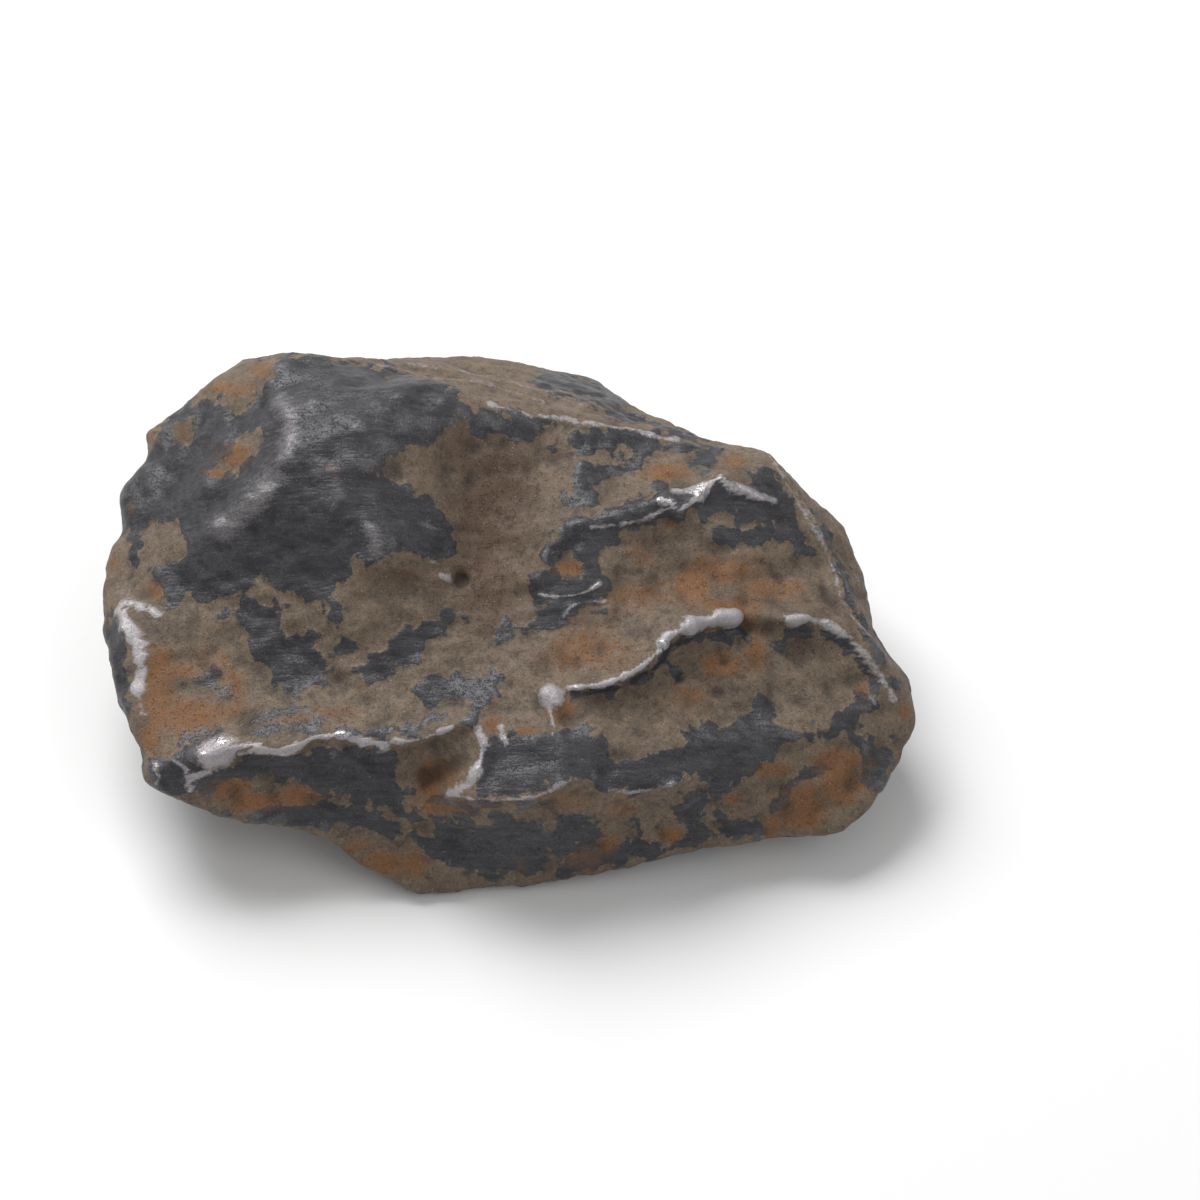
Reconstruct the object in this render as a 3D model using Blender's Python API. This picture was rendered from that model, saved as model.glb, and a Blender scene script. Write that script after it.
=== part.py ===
"""An iron meteorite: one solid lump of nickel-iron, 56 mm long, lying on a small flat spot.

The lump is laid out as it is seen from one sight point, in front of it and 51 degrees above
the table. A landmark is (right, up, height): how far right and up of the middle of that view
it is seen, and how high above the table it is. Everything is in millimetres until the last step.
"""

import math

import bmesh
import bpy
import numpy as np

MM = 0.001

SIGHT_ELEVATION = math.radians(51.4)
SIGHT_DISTANCE = 354.5

# The outline as an ellipse, and how the surface of a ball is stretched out to the real one.
OUTLINE_MIDDLE = np.array([-6.5, -1.7])
OUTLINE_HALF = np.array([28.5, 18.8])
BROAD_BLUR = 10.0   # degrees along the outline
FINE_BLUR = 0.8
RIM_SHARPNESS = 12  # the higher, the nearer to the outline its small knobs stay

BALL_SUBDIVISIONS = 8
TIP_ROUNDING = 0.10
TRIANGLES = 9700

# How far the surface's own unevenness stands out, where it is seen and on the other sides.
SEEN_SWELL = 0.10
HIDDEN_HOLLOWS = 0.65
HIDDEN_SWELL = 0.11

# Where the outline of the lump is seen, clockwise from the top left.
OUTLINE = [
    (-25.3, 17.0, 15.5), (-23.5, 17.3, 16.5), (-21.5, 17.5, 17.2), (-18.5, 17.1, 17.6), (-15.5, 17.0, 16.0),
    (-12.0, 17.1, 13.5), (-9.0, 17.3, 12.0), (-7.2, 17.0, 11.7), (-5.5, 16.8, 11.5), (-4.4, 16.4, 11.0),
    (-2.5, 16.1, 10.5), (-0.6, 15.6, 10.0), (0.6, 15.1, 9.8), (1.4, 14.2, 9.7), (2.2, 13.5, 9.8),
    (4.2, 12.8, 10.3), (5.8, 12.0, 11.0), (7.2, 11.3, 12.0), (8.5, 11.1, 13.0), (10.3, 10.9, 13.9),
    (12.1, 10.2, 13.9), (13.2, 9.1, 13.4), (14.2, 8.0, 12.7), (15.3, 6.8, 12.2), (16.3, 6.4, 11.4),
    (17.0, 5.2, 11.0), (18.2, 2.7, 9.8), (18.8, 0.8, 9.0), (19.15, -1.6, 8.5), (20.1, -3.9, 8.0),
    (21.4, -4.8, 7.6), (22.1, -6.2, 7.3), (21.9, -7.4, 7.0), (22.5, -8.8, 6.5), (21.9, -10.1, 6.2),
    (20.8, -12.3, 5.5), (19.8, -14.1, 5.0), (19.1, -15.3, 4.6), (18.4, -16.0, 4.3), (16.6, -16.6, 3.9),
    (14.4, -17.0, 3.5), (12.0, -16.9, 3.3), (10.4, -17.4, 3.2), (8.0, -17.5, 2.9), (6.0, -18.0, 2.6),
    (3.0, -18.8, 2.0), (0.0, -19.4, 1.3), (-4.0, -20.1, 0.7), (-8.0, -20.6, 0.5), (-11.5, -20.95, 0.5),
    (-13.5, -20.85, 0.6), (-14.4, -20.2, 1.0), (-16.0, -19.5, 1.6), (-18.0, -18.0, 3.2), (-19.4, -17.0, 4.3),
    (-20.6, -16.5, 5.0), (-22.4, -16.2, 5.6), (-24.2, -15.8, 6.1), (-27.0, -15.4, 6.8), (-28.7, -14.8, 7.0),
    (-30.1, -14.0, 7.2), (-31.6, -13.4, 7.3), (-32.6, -12.6, 7.4), (-32.2, -11.4, 7.6), (-33.0, -9.5, 8.0),
    (-34.0, -7.2, 8.4), (-34.8, -3.8, 9.0), (-35.2, -0.8, 9.4), (-35.2, 1.3, 9.7), (-34.7, 3.2, 10.2),
    (-33.6, 5.0, 10.6), (-34.0, 6.3, 10.8), (-34.05, 7.6, 11.0), (-33.1, 8.9, 11.4), (-31.8, 10.1, 12.2),
    (-32.35, 11.2, 12.3), (-32.1, 12.0, 12.6), (-30.9, 12.5, 13.2), (-29.4, 13.8, 14.0), (-27.4, 15.7, 14.8),
]

# The upper side, from the back crest down to the front lip.
UPPER_SIDE = {
    "back crest": [
        (-18.5, 16.2, 18.6), (-14.5, 15.0, 19.0), (-10.0, 14.2, 18.5),
        (-5.0, 13.2, 17.3), (0.0, 12.4, 16.2), (4.0, 11.5, 14.8),
    ],
    "back slope": [(-11.0, 15.7, 15.5), (-5.0, 15.0, 14.3), (0.0, 13.9, 13.0)],
    "dome": [
        (-17.0, 12.0, 20.5), (-18.0, 8.0, 19.0), (-13.0, 10.5, 19.0), (-16.0, 4.0, 16.9),
        (-16.5, 1.0, 15.0), (-11.8, 2.2, 15.2), (-12.5, 6.0, 17.0), (-20.0, 3.0, 15.6),
    ],
    "shoulder": [(-22.2, 13.5, 19.2), (-22.6, 10.5, 18.9), (-24.0, 7.5, 17.5), (-27.2, 4.6, 14.8)],
    "left flank": [
        (-26.5, 12.0, 16.4), (-28.5, 8.0, 14.8), (-30.5, 11.0, 13.8), (-31.0, 4.0, 12.8),
        (-28.5, 1.0, 12.6), (-24.0, 1.5, 13.8), (-33.5, 1.5, 11.2),
    ],
    "left rim": [(-33.4, -1.0, 10.9), (-32.8, -4.0, 10.3), (-33.0, -7.5, 9.2)],
    "left dish": [
        (-30.8, -3.5, 10.4), (-29.5, -7.5, 9.4), (-27.0, -4.5, 10.6), (-24.0, -7.2, 10.0),
        (-22.0, -2.5, 12.0), (-20.0, -6.0, 10.8), (-16.0, -2.5, 13.0), (-15.5, -7.0, 11.0),
    ],
    "valley": [
        (-8.0, 11.0, 17.2), (-8.0, 7.0, 15.5), (-8.5, 3.0, 14.2), (-10.0, -1.0, 13.2),
        (-12.0, -5.0, 11.9), (-7.5, -4.5, 12.2),
    ],
    "front left rim": [
        (-30.5, -11.3, 8.9), (-27.2, -10.8, 9.7), (-23.5, -10.0, 9.9), (-20.0, -9.4, 10.2),
        (-16.0, -9.7, 10.3), (-12.5, -9.3, 10.7), (-9.0, -8.4, 11.4),
    ],
    "cross crest": [
        (-4.2, 2.0, 14.7), (-3.4, 4.6, 15.6), (0.0, 6.0, 16.2), (4.2, 7.2, 16.4),
        (8.3, 8.6, 16.4), (11.5, 7.4, 15.6),
    ],
    "behind the cross crest": [(-3.0, 9.0, 16.4), (3.5, 9.2, 15.8), (9.5, 10.0, 15.6)],
    "trough": [
        (3.0, 3.5, 14.7), (8.0, 3.6, 14.5), (13.0, 3.8, 13.7), (6.0, 0.3, 13.2), (11.5, 0.2, 12.9),
        (16.0, 1.0, 11.9), (0.5, -1.2, 13.3), (-3.0, -3.0, 12.8), (-5.5, -7.0, 11.7),
    ],
    "ledge": [
        (-1.5, -6.2, 12.0), (2.5, -4.9, 12.5), (5.4, -2.2, 13.0), (9.0, -1.1, 12.9),
        (13.5, -1.0, 12.3), (16.8, -1.9, 11.5), (18.8, -4.2, 10.0), (20.4, -7.4, 8.2),
    ],
    "under the ledge": [
        (2.8, -6.3, 11.5), (6.0, -4.0, 11.8), (9.2, -2.8, 11.9), (13.3, -2.8, 11.2),
        (16.0, -3.8, 10.5), (18.2, -6.6, 8.9),
    ],
    "right dish": [
        (1.0, -8.2, 11.1), (5.5, -6.0, 11.0), (9.0, -5.2, 10.9), (14.2, -5.2, 10.1),
        (8.0, -8.0, 9.8), (13.0, -7.8, 9.1),
    ],
    "lower ridge": [
        (-5.0, -10.2, 11.3), (-1.5, -10.2, 11.0), (3.0, -10.6, 10.3), (7.0, -10.2, 9.6),
        (12.0, -10.0, 8.8), (16.5, -9.0, 8.5), (18.8, -7.6, 8.6),
    ],
    "front lip": [
        (-8.3, -13.6, 9.6), (-4.5, -13.8, 9.4), (-1.8, -12.7, 9.9), (2.0, -13.3, 9.0),
        (6.0, -12.7, 8.6),
    ],
    "notch": [(-11.2, -12.0, 8.6)],
    "right front": [(10.5, -13.0, 7.2), (15.5, -12.0, 6.9), (19.0, -10.8, 6.6), (13.5, -15.0, 5.0)],
    "front wall": [
        (-25.5, -13.2, 7.9), (-20.0, -13.0, 7.8), (-15.0, -13.5, 7.2), (-16.5, -16.2, 4.8),
        (-11.5, -17.0, 4.2), (-5.0, -16.6, 5.6), (1.5, -16.0, 5.6), (6.5, -15.5, 5.2), (-4.0, -18.8, 2.6),
    ],
}
# The sides that are hidden from the sight point, as x, y, height on the table.
FAR_SIDE = [
    (-26.0, 9.5, 9.5), (-19.0, 12.5, 8.5), (-11.0, 14.5, 8.0), (-3.0, 13.0, 6.5),
    (5.0, 9.5, 4.5), (12.0, 3.5, 8.0), (17.5, -2.5, 5.5), (-31.5, 3.0, 7.0),
    (-14.0, 12.0, 3.5), (-4.0, 10.5, 2.8), (-23.0, 9.0, 4.5), (10.0, 4.0, 4.0),
]
UNDERSIDE = [
    (-32.0, -8.0, 5.5), (-27.5, -18.0, 4.2), (-25.0, -4.0, 2.8), (-26.5, -12.0, 3.0),
    (-20.0, -18.0, 2.0), (-19.0, 4.0, 2.0), (-14.0, -21.0, 0.7), (-14.5, -8.0, 0.0),
    (-12.0, 3.0, 0.8), (-8.0, -16.0, -0.3), (-6.0, -5.0, -0.6), (-2.0, 3.0, 0.9),
    (-2.0, -21.5, 0.6), (0.5, -12.0, 0.0), (5.0, -4.0, 1.0), (7.0, -18.0, 1.4),
    (10.0, -10.0, 1.7), (14.0, -17.0, 2.4), (17.0, -10.0, 3.4),
]

# Raised seams and ledges as (height, width above the path, width below it, path of (right, up)).
SEAMS = {
    "left rim": (0.75, 0.65, 0.65, [
        (-34.0, -0.2), (-33.4, -2.0), (-32.7, -3.8), (-32.5, -5.5), (-32.8, -6.9), (-32.3, -8.8),
    ]),
    "left rim end": (0.45, 0.45, 0.45, [(-33.6, -0.4), (-31.5, -0.9)]),
    "big bead": (0.95, 0.85, 0.75, [(-28.5, -11.1), (-27.6, -10.8), (-26.7, -10.5)]),
    "corner lump": (0.6, 0.6, 0.6, [(-29.7, -11.5), (-28.8, -13.4)]),
    "corner tip": (0.6, 0.6, 0.6, [(-31.7, -11.6), (-31.3, -12.7)]),
    "front left rim": (0.75, 0.7, 0.45, [
        (-25.6, -10.5), (-24.2, -10.1), (-23.0, -10.5), (-21.5, -10.2), (-20.0, -9.6),
        (-18.0, -9.7), (-16.0, -10.1), (-14.6, -10.0), (-12.8, -9.8), (-10.7, -9.0), (-8.6, -8.6),
    ]),
    "notch edge": (0.65, 0.5, 0.5, [
        (-8.2, -8.8), (-8.3, -10.3), (-8.7, -12.0), (-9.3, -13.1), (-10.6, -13.9),
    ]),
    "front lip": (0.6, 0.9, 0.45, [
        (-10.4, -13.9), (-8.0, -14.1), (-5.0, -14.0), (-3.0, -13.2), (-1.6, -12.7), (-0.3, -13.1),
        (1.5, -13.6), (3.5, -13.3), (5.0, -13.0), (7.0, -12.6),
    ]),
    "drop": (0.85, 0.7, 0.7, [(-3.45, -6.9), (-3.35, -6.9)]),
    "drip": (0.3, 0.3, 0.3, [(-3.4, -7.3), (-3.2, -8.6), (-3.1, -9.8)]),
    "ledge": (0.95, 0.75, 0.4, [
        (-2.4, -6.3), (0.0, -6.0), (2.5, -5.0), (4.2, -3.6), (5.0, -2.6), (6.5, -1.8), (8.0, -1.4),
        (9.7, -1.4),
    ]),
    "right ledge": (0.85, 0.75, 0.4, [
        (12.4, -1.5), (14.5, -1.3), (16.0, -1.7), (17.5, -2.6), (18.7, -3.8), (19.9, -5.4),
        (20.7, -7.2),
    ]),
    "cross crest": (0.6, 0.6, 0.55, [
        (-4.4, 1.2), (-3.8, 3.0), (-2.4, 4.8), (0.0, 5.6), (2.4, 6.3), (4.4, 7.0), (5.6, 6.5),
        (7.0, 7.3), (8.3, 8.6), (9.4, 8.1), (10.7, 7.6), (12.2, 6.9),
    ]),
    "back crest": (0.6, 0.5, 0.9, [
        (-14.0, 15.2), (-11.0, 14.6), (-8.0, 13.9), (-5.0, 13.2), (0.0, 12.4), (2.0, 12.0),
        (4.0, 11.6), (6.4, 11.2),
    ]),
    "back slope": (0.4, 0.45, 0.45, [(-12.5, 16.3), (-7.0, 15.3), (-3.0, 14.3), (-0.5, 13.5)]),
    "back slope low": (0.45, 0.45, 0.45, [(-8.5, 16.4), (-4.0, 15.4), (1.0, 13.8), (4.8, 12.3)]),
    "right flank": (0.5, 0.5, 0.5, [
        (11.6, 10.2), (13.6, 7.6), (15.8, 3.9), (17.0, 0.6), (18.8, -2.2),
    ]),
    "right flank inner": (0.4, 0.5, 0.5, [
        (9.6, 9.9), (12.6, 8.3), (14.8, 5.0), (16.2, 1.6), (17.8, -1.2),
    ]),
    "lower ridge": (0.4, 0.9, 0.6, [
        (-1.5, -10.0), (3.0, -10.4), (7.0, -10.0), (12.0, -9.8), (16.5, -8.6), (19.0, -7.2),
    ]),
    "shoulder": (0.4, 1.0, 1.0, [(-22.6, 9.8), (-24.5, 7.2), (-27.2, 4.6)]),
    "dome fold": (0.3, 0.8, 0.8, [(-23.4, 15.8), (-21.8, 12.6), (-22.3, 10.2)]),
    "dome knob": (0.4, 0.8, 0.8, [(-16.4, 5.2), (-15.5, 3.0)]),
    "valley knob": (0.5, 0.5, 0.5, [(-11.1, 1.6), (-10.9, 1.6)]),
    "right front": (0.35, 0.6, 0.4, [(10.8, -15.0), (13.5, -13.6), (16.5, -12.6), (18.6, -11.0)]),
    "low left": (0.3, 0.5, 0.5, [
        (-18.0, -15.8), (-15.0, -16.6), (-11.0, -17.8), (-6.0, -18.3), (0.0, -18.0),
    ]),
}
# Small pits as (right, up, radius, depth).
PITS = [
    (-9.8, 1.5, 0.5, 0.5), (8.8, -4.5, 0.45, 0.35), (8.3, -6.7, 0.4, 0.35), (10.0, -5.4, 0.4, 0.3),
    (5.7, -5.6, 0.4, 0.3), (-12.0, -12.9, 0.9, 0.5), (-7.4, -12.0, 0.6, 0.4), (11.0, -1.8, 0.8, 0.4),
    (-25.6, -2.0, 0.7, 0.25), (1.5, 4.2, 0.7, 0.25), (-19.5, 13.8, 0.5, 0.2), (4.0, 1.5, 0.6, 0.2),
]
# Thumbprint hollows on the hidden sides as x, y, height, radius, depth.
HOLLOWS = [
    (-22.0, 10.5, 9.0, 5.5, 1.3), (-8.5, 14.5, 8.5, 5.0, 1.2), (2.5, 11.5, 6.0, 4.5, 1.1),
    (-15.0, 12.5, 4.0, 4.0, 0.8), (13.0, 4.0, 6.5, 4.5, 1.0), (-30.0, -2.0, 4.5, 4.5, 1.0),
    (-25.0, -15.0, 3.5, 4.5, 0.9), (8.0, -15.0, 1.5, 4.5, 0.9), (12.0, -5.0, 2.5, 4.5, 1.0),
    (-22.0, -3.0, 2.5, 4.0, 0.8), (3.0, 4.0, 1.5, 4.0, 0.8),
]

SIGHT_POINT = SIGHT_DISTANCE * np.array([0.0, -math.cos(SIGHT_ELEVATION), math.sin(SIGHT_ELEVATION)])
SIGHT_FORWARD = -SIGHT_POINT / SIGHT_DISTANCE
SIGHT_RIGHT = np.array([1.0, 0.0, 0.0])
SIGHT_UP = np.cross(SIGHT_RIGHT, SIGHT_FORWARD)


def sight_lines(view):
    """From the sight point to where each (right, up) is on the plane through the middle of the view."""
    return SIGHT_FORWARD * SIGHT_DISTANCE + np.outer(view[:, 0], SIGHT_RIGHT) + np.outer(view[:, 1], SIGHT_UP)


def in_view(points):
    """(right, up, nearness) of points: nearness is how far they are in front of the view's plane."""
    away = points - SIGHT_POINT
    distance = away @ SIGHT_FORWARD
    scale = SIGHT_DISTANCE / distance
    return np.column_stack([away @ SIGHT_RIGHT * scale, away @ SIGHT_UP * scale, SIGHT_DISTANCE - distance])


def at_height(landmarks):
    """The point of each (right, up, height) landmark."""
    landmarks = np.array(landmarks, float)
    lines = sight_lines(landmarks[:, :2])
    reach = (landmarks[:, 2] - SIGHT_POINT[2]) / lines[:, 2]
    return SIGHT_POINT + lines * reach[:, None]


def at_nearness(view, nearness):
    """The point on each sight line at a distance in front of the view's plane."""
    reach = 1.0 - nearness / SIGHT_DISTANCE
    return SIGHT_POINT + sight_lines(view) * reach[:, None]


def outline_ratio(blur):
    """How much wider than its ellipse the outline is at each angle, smoothed over a few degrees."""
    spokes = (np.array(OUTLINE)[:, :2] - OUTLINE_MIDDLE) / OUTLINE_HALF
    angles = np.degrees(np.arctan2(spokes[:, 1], spokes[:, 0]))
    order = np.argsort(angles)
    degrees = np.arange(-180.0, 180.0, 0.5)
    ratio = np.interp(degrees, angles[order], np.linalg.norm(spokes, axis=1)[order], period=360.0)
    weights = np.exp(-0.5 * (np.minimum(degrees + 180.0, 180.0 - degrees) / blur) ** 2)
    weights /= weights.sum()
    return degrees, np.real(np.fft.ifft(np.fft.fft(ratio) * np.fft.fft(weights)))


BROAD = outline_ratio(BROAD_BLUR)
FINE = outline_ratio(FINE_BLUR)


def ratios_at(angle):
    """The broad outline ratio at each angle in radians, and what the fine one adds to it."""
    broad, fine = (np.interp(np.degrees(angle), *table, period=360.0) for table in (BROAD, FINE))
    return broad - 1.0, fine - broad


def stretched(across, broad, fine):
    """Distance from the middle, in ellipse radii, of the surface at a distance from the ball's axis."""
    return across + broad * across**3 + fine * across ** (RIM_SHARPNESS + 1)


def view_of(rays):
    """Where the surface that belongs to each unit direction is seen."""
    across = np.hypot(rays[:, 0], rays[:, 1])
    reach = stretched(across, *ratios_at(np.arctan2(rays[:, 1], rays[:, 0])))
    return OUTLINE_MIDDLE + OUTLINE_HALF * rays[:, :2] * (reach / np.maximum(across, 1e-9))[:, None]


def rays_of(view, facing):
    """The unit directions of seen places: facing is 1 on the near side, 0 on the outline, -1 beyond it."""
    spokes = (view - OUTLINE_MIDDLE) / OUTLINE_HALF
    angle = np.arctan2(spokes[:, 1], spokes[:, 0])
    distance = np.linalg.norm(spokes, axis=1)
    broad, fine = ratios_at(angle)
    low, high = np.zeros(len(view)), np.ones(len(view))
    for _ in range(30):
        across = (low + high) / 2.0
        short = stretched(across, broad, fine) < distance
        low, high = np.where(short, across, low), np.where(short, high, across)
    across = np.where(facing == 0, 1.0, across)
    depth = facing * np.sqrt(1.0 - across**2)
    return np.column_stack([across * np.cos(angle), across * np.sin(angle), depth])


def kernel(a, b):
    """How strongly a landmark pulls: a cone over the ball with a rounded tip."""
    return np.sqrt(np.maximum(2.0 - 2.0 * a @ b.T, 0.0) + TIP_ROUNDING**2)


def nearness_of(rays):
    """How near the surface is along each unit direction, exact at every landmark."""
    rim = in_view(at_height(OUTLINE))
    near = in_view(at_height([point for group in UPPER_SIDE.values() for point in group]))
    far = in_view(np.array(FAR_SIDE + UNDERSIDE))
    landmarks = np.vstack([rim, near, far])
    marked = rays_of(landmarks[:, :2], np.repeat([0, 1, -1], [len(rim), len(near), len(far)]))
    n = len(marked)
    system = np.ones((n + 1, n + 1))
    system[:n, :n] = kernel(marked, marked)
    system[n, n] = 0.0
    pull = np.linalg.solve(system, np.append(landmarks[:, 2], 0.0))
    return kernel(rays, marked) @ pull[:n] + pull[n]


def smooth_path(path, steps=8):
    """A Catmull-Rom curve through the points of a path."""
    path = np.array(path, float)
    ends = np.vstack([2 * path[0] - path[1], path, 2 * path[-1] - path[-2]])
    a, b, c, d = ends[:-3], ends[1:-2], ends[2:-1], ends[3:]
    t = np.linspace(0.0, 1.0, steps, endpoint=False)[:, None, None]
    curve = b + 0.5 * t * (c - a + t * (2 * a - 5 * b + 4 * c - d + t * (3 * (b - c) + d - a)))
    return np.vstack([curve.transpose(1, 0, 2).reshape(-1, 2), path[-1]])


def beside(view, path):
    """Distance of seen places from a path, positive above or left of it as the path runs."""
    nearest = np.full(len(view), np.inf)
    for start, end in zip(path[:-1], path[1:]):
        along = end - start
        away = view - start
        t = np.clip(away @ along / (along @ along), 0.0, 1.0)
        off = away - t[:, None] * along
        distance = np.hypot(off[:, 0], off[:, 1])
        side = np.where(along[0] * away[:, 1] - along[1] * away[:, 0] < 0.0, -1.0, 1.0)
        nearest = np.where(distance < np.abs(nearest), side * distance, nearest)
    return nearest


def waves(points, wavelength, seed):
    """Smooth unevenness of one wavelength and unit strength: 30 plane waves in seeded directions."""
    rng = np.random.default_rng(seed)
    fronts = rng.normal(size=(30, 3))
    fronts /= np.linalg.norm(fronts, axis=1)[:, None]
    lengths = wavelength * rng.uniform(0.75, 1.35, 30)
    phases = 2 * math.pi * (points @ (fronts / lengths[:, None]).T + rng.uniform(0.0, 1.0, 30))
    return np.cos(phases).sum(1) / math.sqrt(15.0)


def ramp(value, low, high):
    t = np.clip((value - low) / (high - low), 0.0, 1.0)
    return t * t * (3.0 - 2.0 * t)


def relief(points, rays):
    """How far the seams, pits, hollows and unevenness stand out of the mass."""
    view = in_view(points)[:, :2]
    seen = ramp(rays[:, 2], -0.6, -0.1)
    height = np.zeros(len(points))
    for rise, above, below, path in SEAMS.values():
        off = beside(view, smooth_path(path))
        height = np.maximum(height, rise * np.exp(-((off / np.where(off > 0.0, above, below)) ** 2)))
    for right, up, radius, depth in PITS:
        height -= depth * np.exp(-np.sum((view - (right, up)) ** 2, axis=1) / radius**2)
    height += SEEN_SWELL * (waves(points, 4.5, 11) + 0.6 * waves(points, 2.2, 12))
    hidden = HIDDEN_SWELL * waves(points, 4.2, 13)
    hidden += HIDDEN_HOLLOWS * (0.8 - np.sqrt(waves(points, 15.0, 14) ** 2 + 0.08))
    for *middle, radius, depth in HOLLOWS:
        hidden -= depth * np.exp(-np.sum((points - middle) ** 2, axis=1) / radius**2)
    kept = 0.25 + 0.75 * ramp(np.abs(rays[:, 2]), 0.0, 0.35)   # little of it stands out at the outline
    return kept * (seen * height + (1.0 - seen) * hidden)


def vertex_data(mesh, name):
    values = np.empty(len(mesh.vertices) * 3, np.float32)
    mesh.vertices.foreach_get(name, values)
    return values.reshape(-1, 3).astype(float)


def place(mesh, points):
    mesh.vertices.foreach_set("co", points.astype(np.float32).ravel())
    mesh.update()


def formed_mesh():
    """A fine ball pushed out to the lump's surface, in millimetres."""
    ball = bmesh.new()
    bmesh.ops.create_icosphere(ball, subdivisions=BALL_SUBDIVISIONS, radius=1.0)
    mesh = bpy.data.meshes.new("formed")
    ball.to_mesh(mesh)
    ball.free()
    rays = vertex_data(mesh, "co")
    rays /= np.linalg.norm(rays, axis=1)[:, None]
    points = at_nearness(view_of(rays), nearness_of(rays))
    place(mesh, points)
    place(mesh, points + vertex_data(mesh, "normal") * relief(points, rays)[:, None])
    return mesh


def thinned(mesh):
    """The mesh with as many triangles as the solid has, more of them where it curves."""
    lump = bpy.data.objects.new("formed", mesh)
    bpy.context.scene.collection.objects.link(lump)
    thin = lump.modifiers.new("thin", "DECIMATE")
    thin.ratio = TRIANGLES / len(mesh.polygons)
    graph = bpy.context.evaluated_depsgraph_get()
    result = bpy.data.meshes.new_from_object(lump.evaluated_get(graph))
    bpy.data.objects.remove(lump)
    bpy.data.meshes.remove(mesh)
    return result


def cut_flat(solid):
    """Cut away what is under the table, which leaves the flat spot."""
    everything = solid.verts[:] + solid.edges[:] + solid.faces[:]
    bmesh.ops.bisect_plane(solid, geom=everything, dist=1e-4, plane_co=(0, 0, 0), plane_no=(0, 0, -1),
        clear_outer=True)
    rim = [edge for edge in solid.edges if edge.is_boundary]
    bmesh.ops.triangle_fill(solid, edges=rim, use_beauty=True, normal=(0, 0, -1))
    bmesh.ops.recalc_face_normals(solid, faces=solid.faces)


def iron():
    material = bpy.data.materials.new("weathered iron")
    material.use_nodes = True
    shader = material.node_tree.nodes["Principled BSDF"]
    shader.inputs["Base Color"].default_value = (0.105, 0.085, 0.070, 1.0)
    shader.inputs["Roughness"].default_value = 0.5
    shader.inputs["Metallic"].default_value = 0.5
    return material


def main():
    for old in list(bpy.data.objects):
        bpy.data.objects.remove(old)
    mesh = thinned(formed_mesh())
    solid = bmesh.new()
    solid.from_mesh(mesh)
    cut_flat(solid)
    solid.to_mesh(mesh)
    solid.free()

    points = vertex_data(mesh, "co")
    low, high = points.min(0), points.max(0)
    middle = (low + high) / 2 * (1.0, 1.0, 0.0)
    place(mesh, (points - middle) * MM)
    mesh.name = "meteorite"
    mesh.shade_smooth()
    mesh.materials.append(iron())
    lump = bpy.data.objects.new("meteorite", mesh)
    collection = bpy.data.collections.new("iron meteorite")
    bpy.context.scene.collection.children.link(collection)
    collection.objects.link(lump)
    print("meteorite:", len(mesh.polygons), "faces, sides", (high - low).round(2), "mm")
    print("its middle from the middle of the view:", middle[:2].round(4).tolist())


main()
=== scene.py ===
import math

import bpy
import numpy as np
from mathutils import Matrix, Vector


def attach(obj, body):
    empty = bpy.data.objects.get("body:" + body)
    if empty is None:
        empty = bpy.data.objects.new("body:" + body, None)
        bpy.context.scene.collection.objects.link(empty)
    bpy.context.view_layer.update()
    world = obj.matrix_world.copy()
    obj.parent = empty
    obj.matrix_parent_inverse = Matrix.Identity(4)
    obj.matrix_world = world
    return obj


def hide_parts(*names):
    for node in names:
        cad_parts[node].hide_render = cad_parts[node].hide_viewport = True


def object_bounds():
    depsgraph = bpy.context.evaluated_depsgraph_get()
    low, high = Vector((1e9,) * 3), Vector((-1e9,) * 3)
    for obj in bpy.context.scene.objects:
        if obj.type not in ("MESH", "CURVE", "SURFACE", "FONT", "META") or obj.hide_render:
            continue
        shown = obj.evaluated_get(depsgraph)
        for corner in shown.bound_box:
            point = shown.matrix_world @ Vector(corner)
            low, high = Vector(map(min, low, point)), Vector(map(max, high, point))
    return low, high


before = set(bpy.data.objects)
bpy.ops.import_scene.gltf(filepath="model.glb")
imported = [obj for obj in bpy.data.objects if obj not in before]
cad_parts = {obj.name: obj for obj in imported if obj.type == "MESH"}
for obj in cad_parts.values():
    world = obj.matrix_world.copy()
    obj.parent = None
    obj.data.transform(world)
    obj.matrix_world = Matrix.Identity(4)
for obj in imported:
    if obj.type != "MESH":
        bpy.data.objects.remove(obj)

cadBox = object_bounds()
mm = 0.001

# The place that the photograph was taken from. Right and up below are millimetres on the plane
# that faces that place and goes through the middle of its picture.
shot = {
    "elevation": math.radians(51.4),
    "distance": 354.5,
    "middle": (6.335, 5.734),  # where the picture's middle is on the table
    "lens": 150.0,
    "sensor": 36.0,
}
toEye = np.array([0.0, -math.cos(shot["elevation"]), math.sin(shot["elevation"])])
eye = np.array([*shot["middle"], 0.0]) + shot["distance"] * toEye
rightWay = np.array([1.0, 0.0, 0.0])
upWay = np.cross(rightWay, -toEye)


def inPicture(points):
    # where points are seen: their offset from the eye, scaled to the plane through the middle
    away = points - eye
    scale = shot["distance"] / (away @ -toEye)
    return np.column_stack([away @ rightWay * scale, away @ upWay * scale])


def easeBetween(value, low, high):
    # 0 below low, 1 above high, and the cubic 3t2 - 2t3 between them
    t = np.clip((value - low) / (high - low), 0.0, 1.0)
    return t * t * (3.0 - 2.0 * t)


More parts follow.
